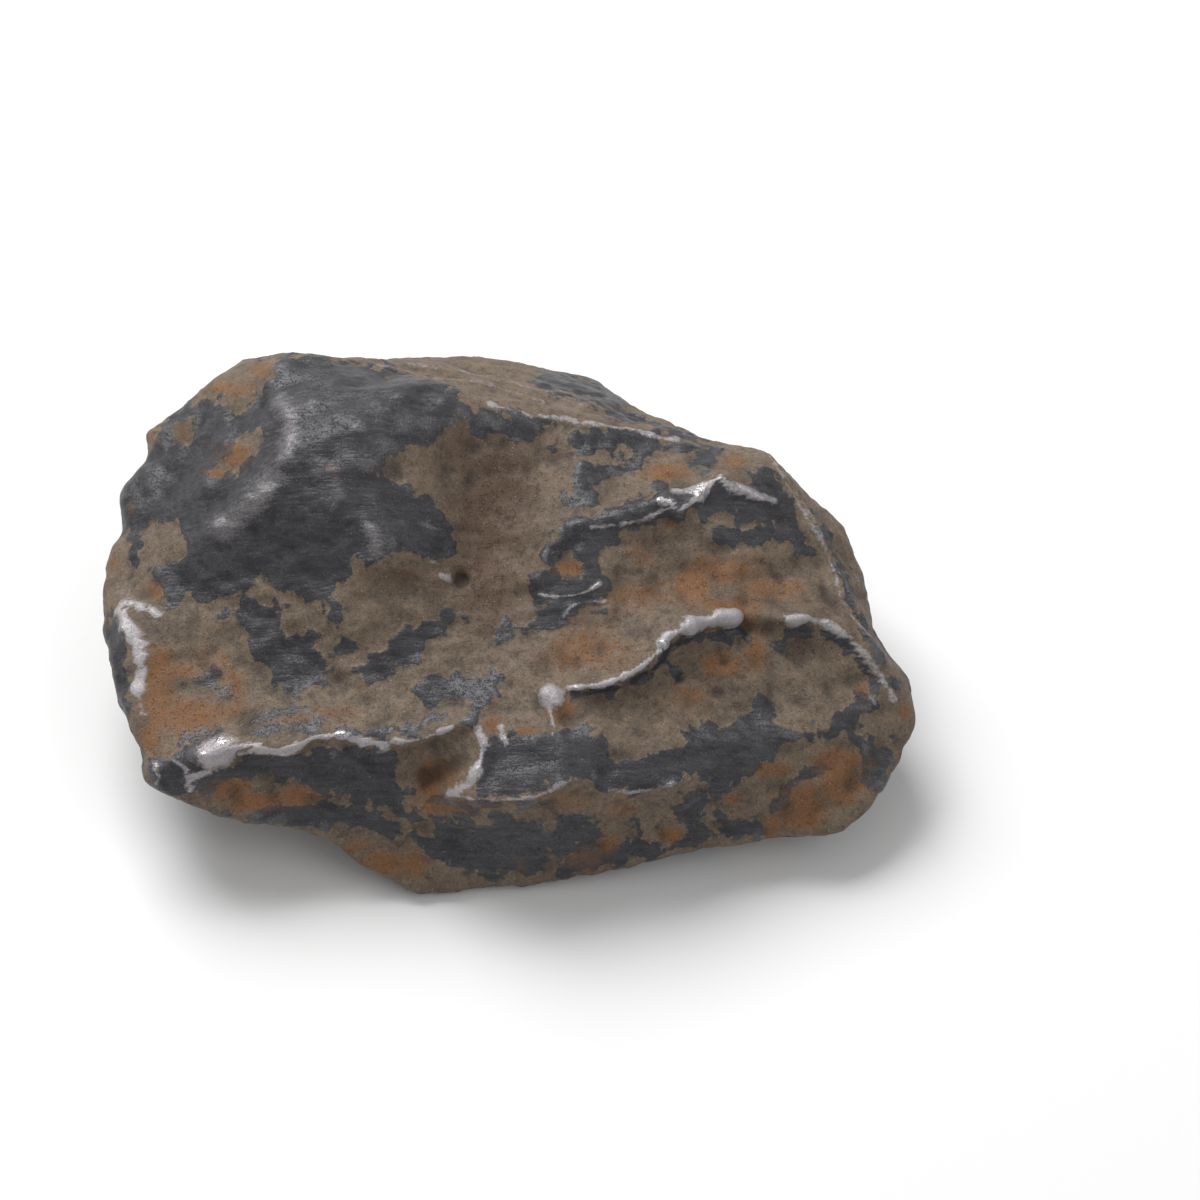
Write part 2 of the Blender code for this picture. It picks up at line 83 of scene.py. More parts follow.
def curveThrough(path, steps=6):
    # Catmull-Rom curve: each stretch is a cubic through its two ends, leaning on their neighbours
    path = np.array(path, float)
    ends = np.vstack([2 * path[0] - path[1], path, 2 * path[-1] - path[-2]])
    a, b, c, d = ends[:-3], ends[1:-2], ends[2:-1], ends[3:]
    t = np.linspace(0.0, 1.0, steps, endpoint=False)[:, None, None]
    curve = b + 0.5 * t * (c - a + t * (2 * a - 5 * b + 4 * c - d + t * (3 * (b - c) + d - a)))
    return np.vstack([curve.transpose(1, 0, 2).reshape(-1, 2), path[-1]])


def besidePath(seen, path):
    # signed distance to a path: length of the part of each offset across the nearest stretch,
    # positive above or left of it
    nearest = np.full(len(seen), 99.0)
    low, high = path.min(0) - 4.0, path.max(0) + 4.0
    close = np.nonzero(((seen > low) & (seen < high)).all(1))[0]
    best = np.full(len(close), 99.0)
    for start, end in zip(path[:-1], path[1:]):
        along = end - start
        away = seen[close] - start
        t = np.clip(away @ along / max(along @ along, 1e-9), 0.0, 1.0)
        off = away - t[:, None] * along
        distance = np.hypot(off[:, 0], off[:, 1])
        side = np.where(along[0] * away[:, 1] - along[1] * away[:, 0] < 0.0, -1.0, 1.0)
        best = np.where(distance < np.abs(best), side * distance, best)
    nearest[close] = best
    return nearest


def insidePatch(seen, corners):
    # signed distance to a closed outline, positive inside: distance to the nearest side,
    # and a point is inside where a line to its right crosses the outline an odd number of times
    corners = curveThrough(list(corners) + [corners[0]], 3)
    distance = np.abs(besidePath(seen, corners))
    inside = np.zeros(len(seen), bool)
    for (x0, y0), (x1, y1) in zip(corners[:-1], corners[1:]):
        spans = (y0 > seen[:, 1]) != (y1 > seen[:, 1])
        crossing = x0 + (seen[:, 1] - y0) * (x1 - x0) / (y1 - y0 if y1 != y0 else 1e-9)
        inside ^= spans & (seen[:, 0] < crossing)
    return np.where(inside, distance, -distance)


def waves(points, wavelength, seed, count=30):
    # smooth unevenness: a sum of plane waves in seeded directions, of about one wavelength
    rng = np.random.default_rng(seed)
    fronts = rng.normal(size=(count, 3))
    fronts /= np.linalg.norm(fronts, axis=1)[:, None]
    lengths = wavelength * rng.uniform(0.7, 1.4, count)
    phases = 2 * math.pi * (points @ (fronts / lengths[:, None]).T + rng.uniform(0.0, 1.0, count))
    return np.cos(phases).sum(1) / math.sqrt(count / 2)


print("scene: the lump's surface")
lump = {
    "quads": 128,             # along each side of the ball's six grids
    "ballHalf": (28.0, 20.4, 13.0),
    "ballMiddle": (0.0, -0.5, 8.6),
    "outside": 3.0,           # the ball starts this many times larger, so that all of it is outside
    "smoothing": 12,          # rounds, each halfway to the neighbours' mean
    "shownEdge": 0.12,        # how gradually the drawn side gives way to the hidden ones
    "skin": 0.02,             # how far inside the solid's box the surface stays
    "lumpiness": 0.055,
    "lumpLength": 2.4,
    "wrinkles": 0.026,
    "wrinkleLength": 1.1,
    "wornSmooth": 0.7,        # the share of its wrinkles lost under bright metal and painted highlight
    "patchRise": 0.075,       # a dark patch stands this much above the tan
    "patchEdge": 0.16,
    "cavityRounds": 4,
    "cavityDepth": 0.02,      # how far below its neighbours a vertex counts as a full hollow
}


def ballGrids(count):
    # six square grids with coordinates tan(u pi/4), tan(v pi/4) and 1, pushed out onto a ball
    line = np.tan(np.linspace(-1.0, 1.0, count + 1) * math.pi / 4)
    u, v = (grid.ravel() for grid in np.meshgrid(line, line, indexing="ij"))
    ones = np.ones_like(u)
    corner = np.arange((count + 1) ** 2).reshape(count + 1, count + 1)
    quads = np.stack([corner[:-1, :-1], corner[1:, :-1], corner[1:, 1:], corner[:-1, 1:]], -1)
    quads = quads.reshape(-1, 4)
    sides = [(u, v, ones), (v, u, -ones), (ones, u, v), (-ones, v, u), (v, ones, u), (u, -ones, v)]
    points = np.vstack([np.column_stack(side) for side in sides])
    faces = np.vstack([quads + i * len(u) for i in range(6)])
    _, first, index = np.unique(np.round(points, 6), axis=0, return_index=True, return_inverse=True)
    points = points[first]
    return points / np.linalg.norm(points, axis=1)[:, None], index.ravel()[faces]


def readVertices(mesh, name="co"):
    # one row of x, y and z for each vertex
    values = np.empty(len(mesh.vertices) * 3, np.float32)
    mesh.vertices.foreach_get(name, values)
    return values.reshape(-1, 3).astype(float)


def writeVertices(mesh, points):
    # the opposite: rows of x, y and z back into the mesh, in metres
    mesh.vertices.foreach_set("co", points.astype(np.float32).ravel())
    mesh.update()


def neighbourMean(values, edges, degree):
    # the mean of each vertex's neighbours
    total = np.zeros_like(values)
    for column in range(values.shape[1]):
        total[:, column] = np.bincount(edges[:, 0], values[edges[:, 1], column], len(values))
        total[:, column] += np.bincount(edges[:, 1], values[edges[:, 0], column], len(values))
    return total / degree[:, None]


directions, faces = ballGrids(lump["quads"])
mesh = bpy.data.meshes.new("meteorite_surface")
mesh.from_pydata(directions * lump["outside"], [], faces.tolist())
surface = bpy.data.objects.new("meteorite_surface", mesh)
bpy.context.scene.collection.objects.link(surface)
surface.scale = Vector(lump["ballHalf"]) * mm
surface.location = Vector(lump["ballMiddle"]) * mm
bpy.context.view_layer.update()
wrap = surface.modifiers.new("wrap", "SHRINKWRAP")
wrap.wrap_method = "PROJECT"
wrap.use_negative_direction = True
wrap.use_positive_direction = False
wrap.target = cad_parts["meteorite"]
evaluated = surface.evaluated_get(bpy.context.evaluated_depsgraph_get())
points = readVertices(evaluated.to_mesh()) * lump["ballHalf"] + lump["ballMiddle"]
evaluated.to_mesh_clear()
surface.modifiers.remove(wrap)
surface.scale = (1.0, 1.0, 1.0)
surface.location = (0.0, 0.0, 0.0)

edges = np.empty(len(mesh.edges) * 2, np.int32)
mesh.edges.foreach_get("vertices", edges)
edges = edges.reshape(-1, 2)
degree = np.bincount(edges.ravel(), minlength=len(points)).astype(float)
for _ in range(lump["smoothing"]):
    points += 0.5 * (neighbourMean(points, edges, degree) - points)
writeVertices(mesh, points * mm)
normals = readVertices(mesh, "normal")
seen = inPicture(points)
facing = np.einsum("ij,ij->i", normals, (eye - points) / shot["distance"])
shown = easeBetween(facing, -lump["shownEdge"], lump["shownEdge"])

# Charcoal patches of smooth oxide, as outlines of (right, up).
darkPatches = {
    "dome": [(-33.9, 5.6), (-33.8, 8), (-32, 10.3), (-31.6, 12.2), (-29.5, 13.7), (-27, 14.3), (-25.5, 14.6),
        (-24.6, 15.8), (-22.5, 17.2), (-18, 17), (-14, 16), (-11, 15.2), (-9.8, 13.8), (-11.5, 11.5),
        (-13.2, 10.6), (-15, 10.2), (-15.5, 9), (-13.8, 8), (-12.2, 7.4), (-11.2, 6.2), (-10.3, 4.6),
        (-10.6, 3.4), (-12.5, 3), (-14.5, 3.6), (-15.6, 2.6), (-17.4, 3), (-17.8, 1.6), (-19.4, 0.2),
        (-21.4, 0.4), (-23.2, 0.8), (-24.6, 1.4), (-25.8, 0.3), (-27.6, -0.1), (-29.4, 0.3), (-30.3, -0.6),
        (-31.2, 0.4), (-31.7, 1.8), (-33, 2.2), (-33.4, 4)],
    "trefoil": [(-26.6, -1.2), (-25.6, -0.2), (-24.6, 0.3), (-23.6, -0.2), (-23, 0.6), (-22.3, -0.3),
        (-22.7, -1.5), (-22.4, -2.2), (-21.3, -2.1), (-20.2, -2.7), (-19.6, -3.5), (-18.2, -2.9),
        (-17.8, -3.4), (-18.6, -3.9), (-19.6, -4.1), (-19.3, -5.2), (-20.2, -6.3), (-21.5, -6.9),
        (-22.6, -6.4), (-23.3, -5.3), (-23.6, -4.6), (-24.6, -4.3), (-24.9, -3.2), (-24.6, -2.3),
        (-25.6, -2)],
    "sliver": [(-17.6, -5.1), (-16.4, -4.2), (-15, -3), (-13.5, -2), (-12, -1.4), (-10.5, -0.5), (-9.6, -1),
        (-10.6, -2.2), (-12.6, -3.2), (-13.4, -4.4), (-14.4, -5.2), (-16, -5.5)],
    "dot": [(-19.4, 0.2), (-18.6, 0.1), (-18.4, -1), (-19.2, -1.4)],
    "blob": [(-13.3, -6.3), (-12.9, -5.8), (-11.5, -5.2), (-9, -5.4), (-7.6, -5.3), (-7, -6), (-7.4, -6.9),
        (-8.8, -7.5), (-10.5, -7.3), (-12, -7.8), (-12.7, -7)],
    "islet": [(-29.5, -5.8), (-28.8, -5.1), (-27.4, -5.2), (-26.8, -5.9), (-26, -6.1), (-26.2, -7),
        (-27, -7.1), (-27.3, -6.3), (-28.5, -6.2)],
    "left wall": [(-26.6, -12), (-24.6, -10.9), (-22, -11), (-18, -10.3), (-15, -10.7), (-14.4, -12),
        (-14, -13.4), (-12.5, -14.6), (-15, -14.6), (-19.3, -14), (-20.8, -12.9), (-24, -12.6),
        (-26.4, -12.8)],
    "corner": [(-32.3, -11), (-30.6, -11.2), (-28.6, -10), (-27.6, -11.8), (-26.8, -12.6), (-28.5, -14),
        (-31.6, -13.4)],
    "left end": [(-34.8, -0.7), (-33.9, -1.2), (-33.6, -4), (-33.2, -7.6), (-34.2, -7.5), (-35.2, -3)],
    "left foot": [(-28, -15.2), (-20, -14.3), (-16, -15), (-14, -16), (-12, -16.8), (-14, -17), (-18, -15.9),
        (-22, -16.2), (-26, -15.7)],
    "front foot": [(-11.5, -15.9), (-8, -15.8), (-6, -15.5), (-4, -16), (-3.5, -17.5), (-4.2, -19),
        (-7, -19.6), (-10, -19), (-12.4, -17.8), (-11.8, -16.8)],
    "foot spot": [(-4, -16.4), (-2.5, -15.4), (-0.8, -15.2), (0.3, -16.2), (-0.4, -17.6), (-2.5, -17.9),
        (-4.4, -17.3)],
    "right foot": [(1.8, -15.2), (2.8, -15.4), (3.2, -16.6), (4.6, -17.3), (6, -16.3), (5.4, -15),
        (5.8, -13.8), (7, -13.3), (7.6, -14.3), (7.4, -15.6), (8.6, -16.8), (7, -17.4), (4, -18.2),
        (1.5, -18.8), (-3, -19.5), (-2.4, -18.5), (0.5, -17.8), (2.2, -17)],
    "front bulge": [(-8.2, -10.2), (-6.6, -9.4), (-5, -9.7), (-3.6, -9.5), (-1.8, -8.9), (-0.4, -9.2),
        (0.4, -10.2), (1.2, -11.2), (3, -11.3), (4.6, -10.6), (5.8, -10.3), (6.4, -9), (7.4, -8.5), (8.6, -9),
        (10.2, -8.2), (11.8, -7), (12.4, -7.8), (12, -9), (13.5, -9.3), (16, -9), (17.4, -7.6), (18.8, -6.6),
        (18.9, -8), (17.6, -9.6), (15.5, -9.7), (13, -10), (12.4, -11), (11.4, -11.8), (10.8, -12.4),
        (9.2, -13.2), (8.6, -14.3), (9, -15.4), (11.2, -15.6), (11.6, -16.6), (9, -17), (8.4, -15.8),
        (7.8, -13.6), (6.6, -12.6), (4, -13.2), (1, -13.6), (-1.6, -12.6), (-3, -13), (-5, -13.9),
        (-8.6, -13.7), (-9, -12.5)],
    "right wedge": [(12.6, -13.4), (14, -12.4), (15.6, -11.6), (15.8, -12.2), (14, -13.4), (13, -14.6),
        (12.2, -14.4)],
    "right end": [(17.5, -9.8), (19.6, -9.6), (20.8, -11.4), (20, -13.6), (18.6, -13), (18.8, -11.4)],
    "cross crest": [(-5, 1.8), (-4.2, 3), (-3.2, 4.4), (-2, 5.6), (-0.4, 6), (1, 6.6), (2.6, 7.3), (3.4, 7.2),
        (3.8, 8), (4.6, 8.1), (6.4, 7.8), (7.6, 8.5), (8.8, 8.6), (10, 8.2), (11.4, 9.6), (12.4, 9),
        (13.6, 7), (14, 5.4), (15, 3.6), (14.4, 3.2), (13, 4.2), (12, 4.2), (12, 5.4), (10, 5.4), (9.6, 6.2),
        (8.6, 6.6), (7.4, 5.6), (6.8, 6.4), (6, 5.8), (4.4, 5.6), (2.6, 5.6), (2.2, 4.8), (1.4, 4.6),
        (0.8, 3.4), (-0.2, 3), (0, 1.8), (0.6, 1), (0, -0.6), (-1.4, -0.6), (-2.4, -1.6), (-4.8, -2),
        (-6.6, -2.6), (-7.6, -3), (-7.2, -1.8), (-5.4, -1.4), (-4, -0.6), (-4.8, 0.6)],
    "crest islands": [(8, 4), (8.6, 5.2), (10, 5.2), (12, 5.2), (12, 4.1), (10, 4)],
    "behind the crest": [(-2.8, 6.8), (-2.2, 8), (-2, 9.4), (-0.8, 9.8), (0.6, 9.6), (2.4, 9.8), (2.2, 10.6),
        (3, 11.2), (5, 11.1), (7.4, 11.1), (8.6, 10.9), (8.2, 9.6), (7.2, 9), (6.4, 9.6), (6.6, 10.4),
        (4, 10.4), (2.4, 9.2), (0.6, 8.9), (-0.4, 8.2), (0, 6.9), (-1.2, 6.4), (-2.4, 6.6)],
    "back ridge": [(-10, 14), (-8, 13.4), (-5, 13.1), (-3.4, 12.6), (-4.6, 11.6), (-6, 11.4), (-7.6, 12),
        (-8.6, 11), (-9.6, 12)],
    "back ridge end": [(-3.8, 10), (-3.2, 11), (-1.8, 12), (0, 12.2), (2, 12.1), (4, 11.8), (3.4, 11),
        (1.6, 10.8), (0, 10.3), (-1.4, 10.2), (-2.6, 11), (-3.2, 10.2)],
    "back slope": [(-5, 15.3), (-3.6, 16.2), (-1, 15.8), (0.6, 15), (1.8, 13.9), (0.6, 13.6), (-1.6, 14.2),
        (-3.6, 14.8)],
}
# Tan left bare inside the charcoal.
tanPatches = {
    "strip": [(-29.2, 14.2), (-27.6, 14.6), (-26.6, 14.1), (-25.9, 13.2), (-24.8, 13.9), (-23.9, 14.9),
        (-22.6, 16.9), (-24.6, 16.4), (-26.2, 15.6), (-28.2, 15)],
    "oval": [(-30.2, 11.2), (-29.9, 12.3), (-29, 13), (-28.7, 12.3), (-29, 11.4), (-29.8, 10.9)],
    "blade": [(-27.8, 8.7), (-27.3, 9.3), (-26.2, 10.2), (-25.8, 11.2), (-24.8, 11.9), (-23.1, 12.2),
        (-24, 11.3), (-24.5, 10.2), (-25.8, 9.3), (-26.8, 8.8)],
    "left blob": [(-33, 3.2), (-32.4, 4.9), (-31.5, 5.6), (-30, 5.8), (-29.5, 5), (-29, 3.9), (-29.5, 3.1),
        (-31, 2.6), (-32.3, 2.1)],
    "crest window": [(-3.5, 2.2), (-2.6, 3), (-1.5, 3.1), (-1.1, 2.2), (-2.2, 1.5), (-3, 1.5)],
    "knob": [(-32.6, 11.2), (-31.8, 12.1), (-31.2, 12), (-31.6, 11.2)],
}
# Thin dark lines as (half width, path): charcoal oxide, and painted shadows under the ledges, coloured like
# the charcoal.
darkLinesAndLedgeShadows = [
    (0.24, [(-24.8, -8.5), (-23.5, -8.1), (-20.5, -8.2), (-18.8, -8.9)]),
    (0.32, [(-24.6, -9.4), (-22.5, -8.9), (-20, -9.1), (-18, -9.4), (-15, -9.5), (-13, -9.2), (-11.8, -8.4),
        (-9.4, -8.5), (-8, -7.2)]),
    (0.4, [(-29.6, -9.9), (-28.8, -9.4), (-27.4, -9.5), (-27, -10)]),
    # painted shadows: the next three lines are the shade under the ledges, not oxide
    (0.3, [(-2.4, -6.7), (0, -6.5), (2.5, -5.7), (4.4, -4.4), (5.6, -5.2)]),
    (0.32, [(4.2, -4), (5.2, -3.3), (7, -2.5), (9, -2.2), (10.6, -2.8)]),
    (0.42, [(12.6, -3.3), (13.4, -2.5), (15, -2.1), (16.8, -2.6), (18.2, -3.8), (19, -5), (19.6, -6.6)]),
    (0.22, [(-12, -14.2), (-8, -14.6), (-4, -14.4)]),
    (0.25, [(-12, -15.6), (-9, -15.2), (-6, -15.6)]),
    (0.2, [(-18, -14.9), (-14, -15.2), (-12.4, -15.8)]),
    (0.3, [(0.6, 13.2), (3.5, 12.4), (6.6, 11.4)]),
    (0.3, [(14.8, 6.2), (16.6, 3), (17.8, 0), (19, -2.8), (20.6, -6)]),
    (0.25, [(-4.8, 1), (-3.6, 0.6), (-2, 1), (-0.6, 1.2), (0.3, 1.6)]),
]
# Rust as (right, up, half width, half height, strength).
rustSpots = [
    (-31.2, -6.5, 1.0, 2.6, 0.9), (-29.6, -5.2, 1.6, 1.0, 0.55), (-27.5, -4.2, 1.4, 1.0, 0.4),
    (-29, -8.2, 2, 1.2, 0.75), (-26, -7.9, 2, 0.8, 0.5), (-32, -9.8, 0.8, 0.8, 0.7), (-26, -6, 0.9, 1.2, 0.5),
    (-23, -8.6, 2.5, 0.3, 0.5), (-19, -8, 2.5, 0.5, 0.45), (-26.5, -13.3, 1.6, 0.7, 0.8),
    (-24.5, -14.3, 1.8, 0.6, 1.0), (-21.5, -13.9, 1.6, 0.7, 0.8), (-15.2, -18.6, 1.2, 0.7, 1.0),
    (-13.2, -18.6, 1, 0.9, 0.7), (-17, -17.4, 1.2, 0.6, 0.5), (-12.2, -12.8, 0.6, 1.3, 0.95),
    (-10.8, -12.2, 1, 1.2, 0.6), (-11.8, -14.4, 0.8, 0.8, 0.8), (-10.5, -14.7, 2.5, 0.5, 0.6),
    (-1, -18.4, 1, 0.6, 1), (0.6, -17.3, 0.8, 0.9, 0.7), (-5.6, -18.8, 0.5, 0.5, 0.6),
    (5, -16.6, 0.8, 0.5, 0.9), (1.5, -14.8, 1.5, 0.8, 0.4), (-3, -14.2, 2.5, 0.8, 0.45),
    (6.5, 1, 1.0, 1.2, 1.0), (8.5, 2, 2.5, 1.2, 0.6), (12, 0.8, 2.5, 0.8, 0.55), (9, -0.4, 3, 0.5, 0.6),
    (3, 0.4, 3, 1, 0.5), (-1, -3.5, 3, 1.5, 0.55), (3, 3, 1.2, 1, 0.4), (-2.2, 2.2, 1, 0.6, 0.7),
    (4.8, 9, 1.6, 0.5, 0.8), (9.4, 9.8, 0.9, 0.5, 0.6), (5.2, 5.4, 0.8, 0.4, 0.5), (8.6, -4.6, 1.4, 0.8, 0.8),
    (11, -3.6, 0.8, 1.4, 0.6), (6.2, -6.8, 1.4, 1, 0.45), (10.4, -1.5, 0.6, 0.6, 0.7),
    (16.8, -11.6, 1.4, 1, 1), (17, -13.2, 1.4, 1, 1), (14.2, -14.6, 1.6, 1.4, 1), (12.2, -16, 0.6, 0.8, 0.9),
    (12.2, -12, 1.4, 0.5, 0.7), (9.4, -14, 0.6, 0.5, 0.7), (19.2, -11.6, 0.6, 0.4, 0.6),
    (21.6, -8, 0.5, 0.8, 0.5), (18.6, -6.3, 0.5, 0.5, 0.6), (-2.8, -7.6, 1, 0.8, 0.8),
    (-5.2, -9.3, 0.8, 0.3, 0.7), (-7.6, -8.8, 0.8, 0.6, 0.6), (-26, 10.2, 1.2, 0.8, 0.75),
    (-27.2, 9, 0.7, 0.3, 0.9), (-29.6, 11.8, 0.5, 0.8, 0.6), (-26, 15, 1.8, 0.5, 0.6),
    (-24, 16.3, 0.8, 0.5, 0.7), (-32.2, 11.6, 0.5, 0.5, 0.6), (-31.6, 0.6, 0.8, 0.7, 0.6),
    (-33.2, 6.5, 0.4, 0.7, 0.5), (-34.4, 2.6, 0.6, 0.8, 0.4), (-19, 9.4, 0.6, 0.4, 0.5),
]
# The brown-red valley floor, in the same form.
valleySpots = [
    (-7.5, 7, 2.4, 4, 1), (-8, 1, 2, 3, 0.9), (-9.5, 11, 2, 2, 0.6), (-14, 1.8, 2, 0.6, 0.7),
    (-2, -1.2, 3, 0.8, 0.6), (10, -0.3, 3.5, 0.7, 0.6), (-31.8, -7, 0.7, 2, 0.8),
]
# Worn bright metal and painted highlights as (half width, strength, rise, path), laid in silver on the
# ridges.
brightMetalAndHighlightLines = [
    (0.5, 1.0, 0.22, [(-33.9, -0.8), (-33.3, -2.2), (-32.6, -3.6), (-32.5, -5.4), (-32.8, -6.4)]),
    (0.28, 0.6, 0.1, [(-32.9, -6.6), (-32.4, -8.2)]),
    (0.36, 0.9, 0.16, [(-33.8, -0.3), (-32.6, -0.5), (-31.3, -1)]),
    (0.95, 1.0, 0.4, [(-27.5, -11), (-26.8, -10.7)]),
    (0.5, 1.0, 0.25, [(-26.6, -10.4), (-25.4, -10.3)]),
    (0.34, 0.8, 0.25, [(-30, -11.4), (-29.2, -12.2), (-28.9, -13.4)]),
    (0.3, 0.7, 0.2, [(-31.5, -11.6), (-31.3, -12.8)]),
    (0.34, 0.8, 0.15, [(-28.6, -12.4), (-27.8, -12.2)]),
    (0.36, 1.0, 0.2, [(-24.7, -10.2), (-23, -10.7), (-21.5, -10.3), (-20, -9.7), (-18, -9.7),
        (-15.3, -10.3)]),
    (0.2, 0.75, 0.1, [(-14.8, -10), (-12.9, -9.9), (-10.5, -9)]),
    (0.36, 0.9, 0.2, [(-8.5, -9.2), (-8.3, -10.5), (-8.8, -12), (-9.3, -13.1), (-10.4, -13.7)]),
    (0.24, 0.8, 0.12, [(-7, -9), (-6.7, -10.2)]),
    (0.16, 0.6, 0.12, [(-10, -14), (-8, -14.1), (-5, -14), (-3, -13.2), (-2, -12.7)]),
    (0.16, 0.55, 0.12, [(0.5, -13.5), (2.5, -13.6), (5, -13), (6.5, -12.7)]),
    (0.74, 1.0, 0.4, [(-3.45, -6.9), (-3.35, -6.9)]),
    (0.14, 0.7, 0.12, [(-3.5, -7.6), (-3.3, -9.6)]),
    (0.22, 0.9, 0.16, [(-2.3, -6.3), (0, -6), (2.5, -5), (4.2, -3.6)]),
    (0.46, 1.0, 0.3, [(4.5, -3.1), (5.2, -2.4), (6.5, -1.8), (8, -1.4), (9.5, -1.35)]),
    (0.36, 0.9, 0.26, [(13.1, -1.5), (14.5, -1.3), (16, -1.7), (17.3, -2.5)]),
    (0.24, 0.75, 0.16, [(17.4, -2.5), (18.7, -3.8), (19.8, -5.2), (20.9, -7.2)]),
    (0.2, 0.65, 0.1, [(-0.6, 5.2), (1.6, 5.4), (3.4, 5.8), (4.4, 6.4)]),
    (0.3, 0.9, 0.15, [(4.3, 7.1), (5.2, 6.7)]),
    (0.26, 0.9, 0.15, [(5.8, 6.5), (7, 7.3), (8.3, 8.6), (9, 8.2), (10.5, 7.6), (12.2, 7)]),
    (0.3, 0.8, 0.1, [(5.4, 7.7), (7, 7.8)]),
    (0.15, 0.6, 0.08, [(-4.4, 0.4), (-3, 0.2), (-1.2, 0.5), (0, 1.1)]),
    (0.14, 0.5, 0.08, [(-2.6, -1.2), (-1.6, -0.3), (0.4, -0.1)]),
    (0.15, 0.7, 0.12, [(-8, 13.9), (-5, 13.2), (0, 12.4), (2, 12), (4, 11.6), (5.5, 11.3)]),
    (0.12, 0.4, 0.08, [(-16, 16.6), (-12, 15.8), (-8, 15.2), (-4, 14)]),
    (0.12, 0.4, 0.08, [(-14, 16.8), (-9, 16), (-5, 15.1), (-1, 13.6)]),
    (0.12, 0.35, 0.08, [(2, 13.2), (4.4, 12.4), (6.6, 11.6)]),
    (0.14, 0.6, 0.1, [(12, 10.2), (14, 7), (16, 3.5), (17.2, 0), (19, -2.6)]),
    (0.1, 0.45, 0.06, [(13, 9), (15.2, 5.6), (16.8, 2), (18.4, -1)]),
    (0.1, 0.4, 0.06, [(16.2, 6), (17.6, 3.2), (18.4, 0.4)]),
    (0.3, 0.55, 0.06, [(19.3, -6.7), (19.4, -7.4)]),
    (0.4, 0.7, 0.1, [(-11.2, 1.7), (-10.9, 1.5)]),
    (0.2, 0.5, 0.06, [(-12.2, 2.8), (-11.6, 2.6)]),
]
# Pale haze on the convex shoulders, as (half width, strength, path): painted sheen from highlights, with some
# wear.
wornAndPaintedSheenPlaces = [
    (0.75, 0.75, [(-22.6, 14), (-22, 12.4), (-22.2, 10.4)]),
    (0.9, 0.9, [(-23.3, 8.8), (-24.4, 7), (-26.8, 5)]),
    (0.7, 0.7, [(-16.3, 5), (-15.8, 3.2)]),
    (0.5, 0.4, [(-20, 8.8), (-18.8, 8.3)]),
    (0.5, 0.35, [(-12.4, 5.4), (-11.6, 5)]),
    (0.6, 0.4, [(-34, 0.6), (-33.2, 0)]),
]
# Small pits as (right, up, radius, depth).
pits = [
    (-9.8, 1.5, 0.5, 0.4), (8.8, -4.5, 0.34, 0.22), (8.4, -6.7, 0.32, 0.22), (9.9, -5.5, 0.22, 0.15),
    (5.7, -5.6, 0.3, 0.2), (3.8, -7.4, 0.3, 0.14), (-0.9, -8.0, 0.25, 0.14), (2.9, 1.9, 0.3, 0.15),
    (11.4, 2.7, 0.2, 0.12), (12.6, 1.7, 0.22, 0.12), (13.5, 2.8, 0.16, 0.1), (5.9, 1.2, 0.2, 0.12),
    (-17.4, -1.8, 0.3, 0.12), (-28.4, -1.5, 0.25, 0.12), (4.8, 8.9, 0.2, 0.1), (10.4, -1.9, 0.5, 0.25),
    (11.8, -1.7, 0.45, 0.2), (-12.3, -12.6, 0.7, 0.25), (-26.5, -2.3, 0.2, 0.1), (0.6, 7.6, 0.2, 0.1),
]

print("scene: markings")
marks = {
    "reach": 1.5,                        # distances beyond this say nothing more
    "spotFall": 0.7,
    "lineFringe": 1.6,                   # bright metal and painted highlight end this many half widths from their line
    "beadHeight": 0.8,
    "widthMean": 0.8,
    "widthWander": ((0.26, 2.0, 41), (0.14, 0.8, 42)),       # size, wavelength and seed
    "widthRange": (0.3, 1.4),
    "steadyWidth": 0.7,                  # lines this wide are beads, and keep their width
    "hiddenDark": ((1.1, 9.0, 21), (0.5, 4.0, 22)),
    "hiddenDarkMore": 0.1,
    "hiddenRust": ((1.0, 6.5, 23), (0.4, 2.6, 24)),
    "hiddenRustEdge": (0.6, 1.9),
    "hiddenRustMost": 0.9,
    "raggedDark": ((0.22, 1.5, 25), (0.12, 0.8, 26)),
}


def wavesOf(layers):
    # several sets of waves added up, each times its size
    return sum(size * waves(points, wavelength, seed) for size, wavelength, seed in layers)


dark = np.max([insidePatch(seen, patch) for patch in darkPatches.values()], axis=0)
# the dark lines add charcoal oxide and the painted shadows under the ledges
for halfWidth, path in darkLinesAndLedgeShadows:
    dark = np.maximum(dark, halfWidth - np.abs(besidePath(seen, curveThrough(path))))
bareTan = np.max([insidePatch(seen, patch) for patch in tanPatches.values()], axis=0)
dark = np.clip(np.minimum(dark, -bareTan), -marks["reach"], marks["reach"])


def spotField(spots):
    # the strongest of the spots: each falls off as exp(-distance squared) from its middle
    field = np.zeros(len(seen))
    for right, up, halfWide, halfHigh, strength in spots:
        distance = ((seen[:, 0] - right) / halfWide) ** 2 + ((seen[:, 1] - up) / halfHigh) ** 2
        field = np.maximum(field, strength * np.exp(-marks["spotFall"] * distance))
    return field


rust = spotField(rustSpots)
valley = spotField(valleySpots)
brightMetalAndHighlight = np.zeros(len(seen))
beads = np.zeros(len(seen))
